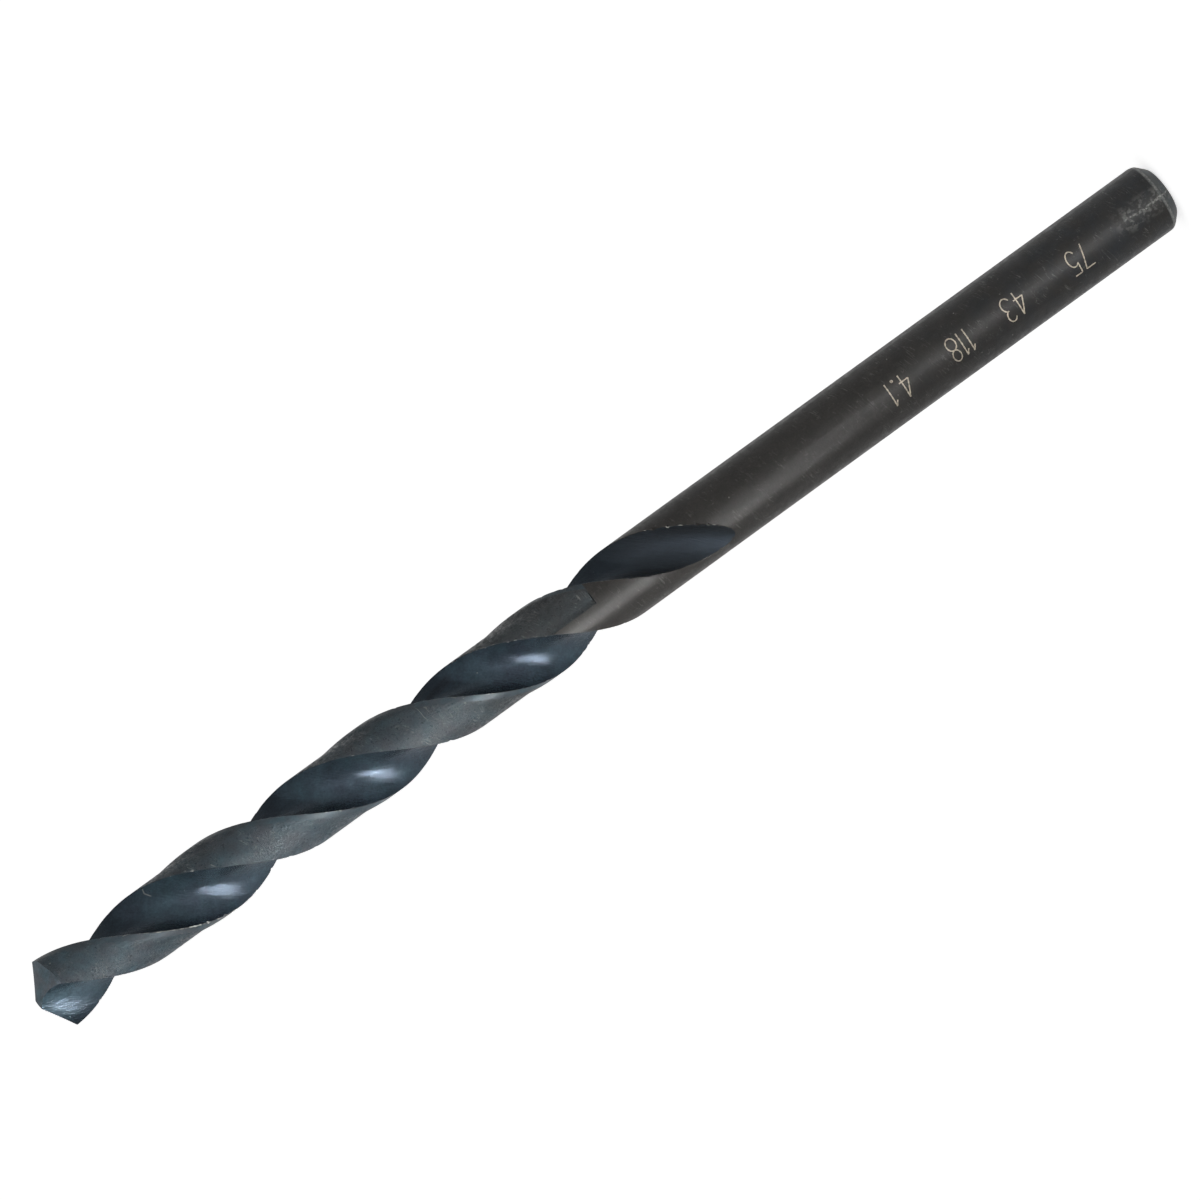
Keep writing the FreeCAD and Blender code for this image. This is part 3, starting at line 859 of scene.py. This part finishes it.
def flute_steel(finish):
    """Temper-blue flute, darker by the lip side where shade is partly painted, with fine slanting lines, dirt
    and a painted highlight: a paler patch near the tip.
    """
    nodes = Nodes("temper_blue_flute")
    across = nodes.axis(nodes.grain, "Z")
    flute, temper = finish.flute_colour, finish.temper_colour
    shank, bare = finish.shank_colour, finish.bare_colour
    tone = oxide(nodes, flute, temper, 1.0, 0.65, 1.3)
    # Partly painted shade: the flute is darkened along its lip-side wall, partly as shade and partly as the
    # flute's own darker tone
    tone = nodes.shaded(tone, nodes.span(across, 0.0, 0.12, 0.8, 1.0))
    tone = dust(nodes, tone, 0.06, shade(bare, 0.5))
    fade = nodes.span(nodes.height, *RUNOUT_FADE, 0.0, 0.8)
    tone = nodes.blend(fade, tone, shade(shank, 0.45))
    # Painted highlight: a paler patch in the middle of the flute near the tip, broken up by noise
    glint_patches = nodes.span(nodes.noise(3.0, 4.0, 0.65, 9.0), 0.35, 0.7, 0.3, 0.9)
    tip_glint = nodes.times(nodes.span(nodes.height, *TIP_GLINT), nodes.span(across, 0.1, 0.4),
                       nodes.span(across, 0.92, 0.62), glint_patches)
    tone = nodes.blend(tip_glint, tone, shade(temper, 3.6))
    wobble = nodes.span(nodes.noise(4.0, 3.0, 0.6), 0.3, 0.7, 0.6, 1.0)
    tone = nodes.blend(nodes.times(streak(nodes, *STAIN), wobble, 0.85), tone, shade(shank, 0.25))
    for part in FIBRE:
        tone = nodes.blend(nodes.times(streak(nodes, *part, FIBRE_WIDTH), 0.65), tone, shade(bare, 0.4))
    holes = nodes.times(nodes.specks(2.8, 0.14, 0.07),
                        nodes.span(nodes.noise(0.8, 2.0, offset=21.0), 0.55, 0.62))
    tone = nodes.blend(nodes.times(holes, 0.7), tone, shade(flute, 0.2))
    normal = nodes.relief((nodes.drawn(3.5, 0.5, 2.0, 0.5), 0.020),
                          (nodes.drawn(9.0, 0.7, 4.0, 0.65, GRINDING_SLANT), 0.031),
                          (nodes.noise(18.0, 3.0, 0.65), 0.005), (holes, -0.01))
    rough = nodes.span(nodes.noise(5.0, 4.0, 0.65), 0.35, 0.65, 0.16, 0.27)
    rough = nodes.maths("ADD", rough, nodes.times(fade, 0.35))
    return nodes.finish(tone, rough, normal, 0.4, FLUTE_GLINT)


def land_steel(finish):
    """Relieved land: cool grey, mottled and dusty, with faint rings and scratches left by use."""
    nodes = Nodes("mottled_land")
    bare = finish.bare_colour
    tone = oxide(nodes, finish.land_colour, shade(finish.temper_colour, 1.25), 1.5, 0.72, 1.3)
    tone = dust(nodes, tone, 0.5, shade(bare, 0.6))
    tone = nodes.shaded(tone, nodes.span(nodes.height, *PALE_LAND, 1.0, 1.35))
    tone = nodes.blend(nodes.span(nodes.height, *BROWN_LAND, 0.0, 0.6), tone, shade(finish.shank_colour, 1.5))
    tone = nodes.blend(scratches(nodes, 0.5, 5.0, 0.5, 0.35), tone, shade(bare, 0.7))
    normal = nodes.relief((nodes.drawn(1.2, 12.0, 3.0, 0.6), 0.004), (nodes.noise(8.0, 4.0, 0.72), 0.04))
    rough = nodes.span(nodes.noise(5.0, 5.0, 0.7, 5.0), 0.38, 0.62, 0.24, 0.74)
    return nodes.finish(tone, rough, normal, 0.36, LAND_GLINT)


def shank_steel(finish):
    """Brown-black shank, mottled, and blue-black towards its end."""
    nodes = Nodes("brown_black_shank")
    shank, bare = finish.shank_colour, finish.bare_colour
    tone = oxide(nodes, shank, shade(shank, 0.85), 1.2, 0.8, 1.25)
    blue = oxide(nodes, shade(finish.flute_colour, 0.6), shade(shank, 0.65), 1.1, 0.7, 1.25)
    height = nodes.maths("ADD", nodes.height, nodes.span(nodes.noise(0.5, 4.0, 0.6), 0.2, 0.8, -5.0, 5.0))
    tone = nodes.blend(nodes.span(height, *BLUE_SHANK, 0.0, 0.75), tone, blue)
    tone = dust(nodes, tone, 0.16, shade(bare, 0.5))
    tone = nodes.blend(end_rub(nodes), tone, shade(bare, 0.7))
    tone = nodes.blend(scratches(nodes, 0.6, 4.0, 0.25, 0.3), tone, shade(bare, 0.5))
    normal = nodes.relief((nodes.drawn(0.8, 16.0, 3.0, 0.6), 0.003), (nodes.noise(9.0, 4.0, 0.68), 0.011))
    rough = nodes.span(nodes.noise(2.4, 5.0, 0.62, 5.0), 0.3, 0.7, 0.34, 0.54)
    return nodes.finish(tone, rough, normal, 0.26)


def margin_steel(finish):
    """Cylindrical margin, rubbed a little paler than the land beside it."""
    nodes = Nodes("rubbed_margin")
    tone = oxide(nodes, shade(finish.land_colour, 1.05), shade(finish.temper_colour, 1.4), 1.6, 0.75, 1.25)
    tone = dust(nodes, tone, 0.4, shade(finish.bare_colour, 0.6))
    normal = nodes.relief((nodes.drawn(14.0, 1.2, 3.0, 0.6), 0.003), (nodes.noise(10.0, 3.0, 0.65), 0.010))
    rough = nodes.span(nodes.noise(3.0, 4.0), 0.3, 0.7, 0.3, 0.5)
    return nodes.finish(tone, rough, normal, 0.34, LAND_GLINT)


def flank_steel(finish):
    """Ground flank with arcs left by the point grinder."""
    nodes = Nodes("ground_flank")
    tone = oxide(nodes, shade(finish.land_colour, 5.4), shade(finish.temper_colour, 5.6), 1.8, 0.65, 1.4)
    tone = dust(nodes, tone, 0.3, shade(finish.bare_colour, 0.6))
    normal = nodes.relief((nodes.drawn(12.0, 1.5, 3.0, 0.6), 0.005), (nodes.noise(11.0, 3.0, 0.65), 0.010))
    return nodes.finish(tone, 0.45, normal)


def edge_steel(finish):
    """Narrow edge strip: oxide with bare steel where it is rubbed or nicked."""
    nodes = Nodes("worn_edge")
    height = nodes.height
    near_tip = nodes.span(nodes.apart(height, WORN_EDGE_HEIGHT), 4.0, 2.0, 0.0, 0.1)
    near_runout = nodes.span(height, *WORN_HEEL, 0.0, 0.14)
    more = nodes.times(nodes.maths("MAXIMUM", near_tip, near_runout),
                       nodes.add("Attribute", {}, "Fac", attribute_name="rub"))
    less = nodes.span(height, *LESS_WORN, 0.0, -0.06)
    spread = nodes.maths("ADD", nodes.noise(2.6, 4.0, 0.7), more, less)
    dark = nodes.span(height, *DARK_EDGE)
    dull = nodes.blend(dark, shade(finish.land_colour, 0.8), shade(finish.shank_colour, 0.7))
    tone = nodes.blend(nodes.span(spread, 0.56, 0.68, 0.0, 0.9), dull, finish.bare_colour)
    return nodes.finish(tone, 0.45, nodes.relief((nodes.noise(16.0, 2.0, 0.6), 0.012)), 0.3)


def end_steel(finish):
    """Turned chamfer and end face: near black, rubbed along the corner."""
    nodes = Nodes("blue_black_end")
    tone = oxide(nodes, shade(finish.shank_colour, 0.9), shade(finish.temper_colour, 0.7), 1.6, 0.7, 1.3)
    tone = dust(nodes, tone, 0.3, shade(finish.bare_colour, 0.5))
    tone = nodes.blend(end_rub(nodes), tone, shade(finish.bare_colour, 0.7))
    return nodes.finish(tone, 0.5, nodes.relief((nodes.noise(9.0, 3.0, 0.65), 0.014)))


def mark_steel(finish):
    """Etched line: pale oxide, broken where the etching is thin."""
    nodes = Nodes("etched_line")
    thin = nodes.span(nodes.noise(7.0, 3.0, 0.7), 0.34, 0.6, 0.35, 1.0)
    tone = nodes.blend(thin, shade(finish.shank_colour, 2.0), finish.mark_colour)
    return nodes.finish(tone, 0.6, nodes.relief((nodes.noise(14.0, 2.0, 0.6), 0.008)))


def floor_white(look):
    """Plain pale floor that shows white to the camera and in reflections, and keeps the shadow."""
    nodes = Nodes("pale_floor")
    for name, value in (("Base Color", look.floor_colour), ("Roughness", 0.9), ("Specular IOR Level", 0.0)):
        nodes.put(nodes.shader.inputs[name], value)
    path = nodes.tree.nodes.new("ShaderNodeLightPath")
    rays = [path.outputs[f"Is {ray} Ray"] for ray in ("Camera", "Glossy", "Transmission")]
    seen = nodes.maths("MAXIMUM", *rays)
    glow = nodes.add("Emission", {"Strength": nodes.times(seen, FLOOR_GLOW)})
    nodes.put(nodes.output.inputs["Surface"], nodes.add("AddShader", {0: nodes.shader.outputs[0], 1: glow}))
    return nodes.material


def placed(scene, name, data):
    """Object in the scene that shows the data."""
    made = bpy.data.objects.new(name, data)
    scene.collection.objects.link(made)
    return made


class DRILL_OT_body(bpy.types.Operator):
    """Make the drill itself: point, flutes, lands, margins and shank"""

    bl_idname = "drill.body"
    bl_label = "Drill"

    def execute(self, context):
        mesh = DrillSurface(Grinding(context.scene.drill_sizes)).mesh()
        for maker in (flute_steel, land_steel, margin_steel, flank_steel, shank_steel, edge_steel, end_steel):
            mesh.materials.append(maker(context.scene.drill_finish))
        drill = placed(context.scene, "twist_drill", mesh)
        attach(drill, BODY)
        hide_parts(NODE)
        return {"FINISHED"}


# Size figures along the shank, read towards the point: heights where they start, and their form
FIGURE_STARTS = (5.7, 10.1, 13.7, 17.8)
FIGURE_BASE_AZIMUTH = 115.4
FIGURE_HEIGHT = 1.39
FIGURE_WIDTH = 0.58
FIGURE_GAP = 0.2
FIGURE_STROKE = 0.068
FIGURE_WAVER = 0.18
FIGURE_LIFT = 0.0015
FIGURE_STEP = 0.04


def bow(x, y, wide, high, start, stop):
    """Points along part of an ellipse, from one angle to another."""
    angles = np.radians(np.linspace(start, stop, 17))
    return list(zip(x + wide * np.cos(angles), y + high * np.sin(angles)))


def strokes(sign):
    """Strokes of a figure in a box one wide and one high, and the width that it takes."""
    six = [bow(0.5, 0.31, 0.5, 0.31, 0, 360), bow(0.95, 0.31, 0.95, 0.69, 180, 105)]
    figures = {
        ".": [bow(0.12, 0.05, 0.1, 0.04, 0, 360)],
        "0": [bow(0.5, 0.5, 0.5, 0.5, 0, 360)],
        "1": [[(0.0, 0.78), (0.3, 1.0), (0.3, 0.0)]],
        "2": [bow(0.5, 0.7, 0.46, 0.3, 170, -35) + [(0.0, 0.0), (1.0, 0.0)]],
        "3": [bow(0.47, 0.76, 0.42, 0.24, 155, -85), bow(0.47, 0.27, 0.5, 0.27, 85, -155)],
        "4": [[(0.72, 0.0), (0.72, 1.0), (0.0, 0.3), (1.0, 0.3)]],
        "5": [[(0.92, 1.0), (0.16, 1.0), (0.1, 0.57)] + bow(0.46, 0.33, 0.5, 0.33, 135, -150)],
        "6": six,
        "7": [[(0.0, 1.0), (1.0, 1.0), (0.35, 0.0)]],
        "8": [bow(0.5, 0.76, 0.42, 0.24, 0, 360), bow(0.5, 0.26, 0.5, 0.26, 0, 360)],
        "9": [[(1 - x, 1 - y) for x, y in line] for line in six],
    }
    return figures[sign], {".": 0.24, "1": 0.4}.get(sign, 1.0)


class DRILL_OT_figures(bpy.types.Operator):
    """Make the etched size figures on the shank"""

    bl_idname = "drill.figures"
    bl_label = "Size Figures"

    def execute(self, context):
        finish = context.scene.drill_finish
        words = finish.figures.split()
        if len(words) > len(FIGURE_STARTS) or set("".join(words)) - set("0123456789."):
            raise ValueError("the figures are up to four plain numbers")
        points = []
        faces = []
        for word, start in zip(words, FIGURE_STARTS):
            for sign in word:
                lines, width = strokes(sign)
                for line in lines:
                    self.ribbon(line, start, points, faces)
                start += width * FIGURE_WIDTH + FIGURE_GAP
        radius = context.scene.drill_sizes.shank_diameter / METRES / 2 + FIGURE_LIFT
        base = math.radians(FIGURE_BASE_AZIMUTH)
        places = [(*radius * toward(base - up / radius), height) for height, up in points]
        mesh = bpy.data.meshes.new("figures")
        mesh.from_pydata([[METRES * value for value in place] for place in places], [], faces)
        mesh.materials.append(mark_steel(finish))
        figures = placed(context.scene, "size_figures", mesh)
        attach(figures, BODY)
        return {"FINISHED"}

    def ribbon(self, line, start, points, faces):
        """A thin flat line along the stroke, as points of height and rise."""
        scaled = np.array(line, float) * (FIGURE_WIDTH, FIGURE_HEIGHT)
        lengths = np.hypot(*np.diff(scaled, axis=0).T)
        known = np.concatenate([[0], np.cumsum(lengths)])
        runs = np.unique(np.concatenate([known, np.arange(0, lengths.sum(), FIGURE_STEP)]))
        places = np.stack([np.interp(runs, known, part) for part in scaled.T], 1)
        ahead = np.gradient(places, runs, axis=0)
        ahead /= np.hypot(*ahead.T)[:, None]
        for k, ((x, y), (east, north)) in enumerate(zip(places, ahead)):
            side = FIGURE_STROKE / 2 * (1 + FIGURE_WAVER * math.sin(runs[k] * 23 + start * 5))
            points.append((start + x + north * side, y - east * side))
            points.append((start + x - north * side, y + east * side))
            if k:
                at = len(points) - 2
                faces.append((at - 2, at, at + 1, at - 1))


# Camera of the photograph, in the drill's frame
CAMERA_PLACE = (-114.235, 381.517, 95.156)
CAMERA_WAY = (0.284136, -0.948225, -0.141905)
CAMERA_UP = (-0.79947, -0.152613, -0.580997)
CAMERA_LENS = 225.669
CAMERA_FILM = 36.0
CAMERA_CLIP = (0.01, 20.0)

# Lamps: name, azimuth in degrees; distance from the axis, level, width, height and height aimed at, in metres;
# spread in degrees and share of power
LAMPS = (
    ("overhead", 98.0, 0.6, 0.32, 0.3, 0.3, 0.0375, 180.0, 1.05),
    ("softbox", 97.0, 0.35, 0.036, 0.05, 0.064, 0.0375, 180.0, 0.55),
    ("strip", 98.0, 0.2, 0.004, 0.03, 0.006, 0.004, 20.0, 0.015),
    ("fill", 145.0, 0.4, 0.33, 0.12, 0.12, 0.0375, 180.0, 0.25),
    ("spot", 66.0, 0.14, 0.0062, 0.014, 0.010, 0.060, 32.0, 0.066),
)

# Half the floor's width and its drop below the shank end, in metres, and its own light
FLOOR_HALF = 6.0
FLOOR_DROP = 0.00001
FLOOR_GLOW = 0.69


def aim(thing, place, ahead, up):
    """Put a camera or lamp at a place, looking ahead."""
    back = -Vector(ahead).normalized()
    right = Vector(up).cross(back).normalized()
    thing.location = place
    thing.rotation_mode = "QUATERNION"
    thing.rotation_quaternion = Matrix((right, back.cross(right), back)).transposed().to_quaternion()


class DRILL_OT_studio(bpy.types.Operator):
    """Set the floor, the lamps, the room light and the camera"""

    bl_idname = "drill.studio"
    bl_label = "Studio"

    def execute(self, context):
        scene = context.scene
        scene.view_settings.view_transform = "Standard"
        self.floor(scene, scene.studio_look)
        self.room(scene, scene.studio_look)
        self.lamps(scene, scene.studio_look)
        self.camera(scene)
        return {"FINISHED"}

    def floor(self, scene, look):
        mesh = bpy.data.meshes.new("floor")
        signs = ((-1, -1), (1, -1), (1, 1), (-1, 1))
        mesh.from_pydata([(x * FLOOR_HALF, y * FLOOR_HALF, -FLOOR_DROP) for x, y in signs], [], [(0, 1, 2, 3)])
        mesh.materials.append(floor_white(look))
        placed(scene, "floor", mesh)

    def room(self, scene, look):
        scene.world = bpy.data.worlds.new("room")
        scene.world.use_nodes = True
        tree = scene.world.node_tree
        background = tree.nodes["Background"]
        background.inputs["Color"].default_value = (1.0, 1.0, 1.0, 1.0)
        path = tree.nodes.new("ShaderNodeLightPath")
        seen = tree.nodes.new("ShaderNodeMapRange")
        seen.inputs["To Min"].default_value = look.sky_strength
        seen.inputs["To Max"].default_value = 1.0
        tree.links.new(path.outputs["Is Camera Ray"], seen.inputs["Value"])
        tree.links.new(seen.outputs[0], background.inputs["Strength"])

    def lamps(self, scene, look):
        for name, azimuth, distance, level, width, height, target, spread, share in LAMPS:
            data = bpy.data.lights.new(name, "AREA")
            data.shape = "RECTANGLE"
            data.size = width
            data.size_y = height
            data.spread = math.radians(spread)
            data.energy = look.lamp_power * share
            lamp = placed(scene, name, data)
            place = Vector((*distance * toward(math.radians(azimuth)), level))
            aim(lamp, place, Vector((0, 0, target)) - place, (0, 0, 1))
            lamp.visible_camera = False

    def camera(self, scene):
        data = bpy.data.cameras.new("camera")
        data.lens = CAMERA_LENS
        data.sensor_width = CAMERA_FILM
        data.clip_start, data.clip_end = CAMERA_CLIP
        scene.camera = placed(scene, "camera", data)
        aim(scene.camera, Vector(CAMERA_PLACE) * METRES, CAMERA_WAY, CAMERA_UP)


class DRILL_PT_panel(bpy.types.Panel):
    """Panel in the sidebar that makes the pieces one by one"""

    bl_idname = "DRILL_PT_panel"
    bl_label = "Drill Bit"
    bl_space_type = "VIEW_3D"
    bl_region_type = "UI"
    bl_category = "Drill Bit"

    def draw(self, context):
        for name in GROUPS:
            group = getattr(context.scene, name)
            box = self.layout.box()
            for size in group.__annotations__:
                box.prop(group, size)
        for operator in OPERATORS:
            self.layout.operator(operator.bl_idname)


GROUPS = {"drill_sizes": DrillSizes, "drill_finish": DrillFinish, "studio_look": StudioLook}
OPERATORS = (DRILL_OT_body, DRILL_OT_figures, DRILL_OT_studio)
CLASSES = (*GROUPS.values(), *OPERATORS, DRILL_PT_panel)


def register():
    for cls in CLASSES:
        bpy.utils.register_class(cls)
    for name, group in GROUPS.items():
        setattr(bpy.types.Scene, name, PointerProperty(type=group))


def unregister():
    for name in GROUPS:
        delattr(bpy.types.Scene, name)
    for cls in reversed(CLASSES):
        bpy.utils.unregister_class(cls)


def main():
    register()
    bpy.ops.drill.body()
    bpy.ops.drill.figures()
    bpy.ops.drill.studio()


if __name__ == "__main__":
    main()
